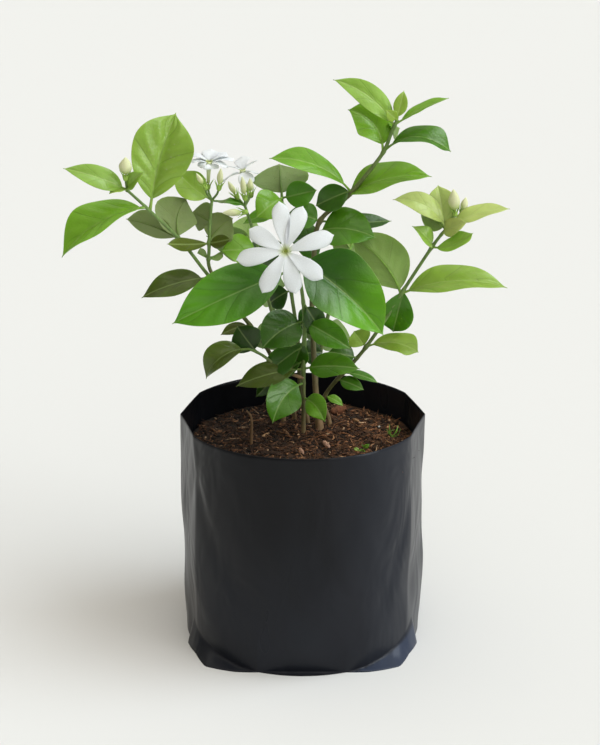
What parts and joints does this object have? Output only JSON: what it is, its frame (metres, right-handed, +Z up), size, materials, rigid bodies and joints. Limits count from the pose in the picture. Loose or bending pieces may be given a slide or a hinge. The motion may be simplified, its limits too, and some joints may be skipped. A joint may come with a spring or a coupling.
{
  "type": "potted jasmine",
  "caption": "Small bushy jasmine with glossy oval leaves, cream buds and white star flowers, growing in potting mix in a round black film nursery bag.",
  "frame": {"origin": "on the floor under the middle of the bag", "axes": "+Z up; -Y towards the viewer of the picture; +X to the viewer's right"},
  "size_m": [0.2111, 0.1374, 0.2771],
  "materials": {
    "film": "satin",
    "soil": "matte",
    "leaf": "satin",
    "petal": "matte",
    "bud": "matte",
    "dead_wood": "matte"
  },
  "bodies": {
    "root": {"nursery_bag": "film", "potting_mix": "soil", "front_stem": "leaf", "left_stem": "leaf", "bud_stem": "leaf", "centre_stem": "leaf", "top_stem": "leaf", "right_stem": "leaf", "back_left_stem": "leaf", "back_right_stem": "leaf", "front_flower": "petal", "back_flower": "petal", "rear_flower": "petal", "left_bud": "bud", "back_bud": "bud", "slim_bud": "bud", "cluster_bud_1": "bud", "cluster_bud_2": "bud", "cluster_bud_3": "bud", "white_bud": "bud", "right_bud_1": "bud", "right_bud_2": "bud", "dead_twig": "dead_wood"}
  },
  "joints": []
}
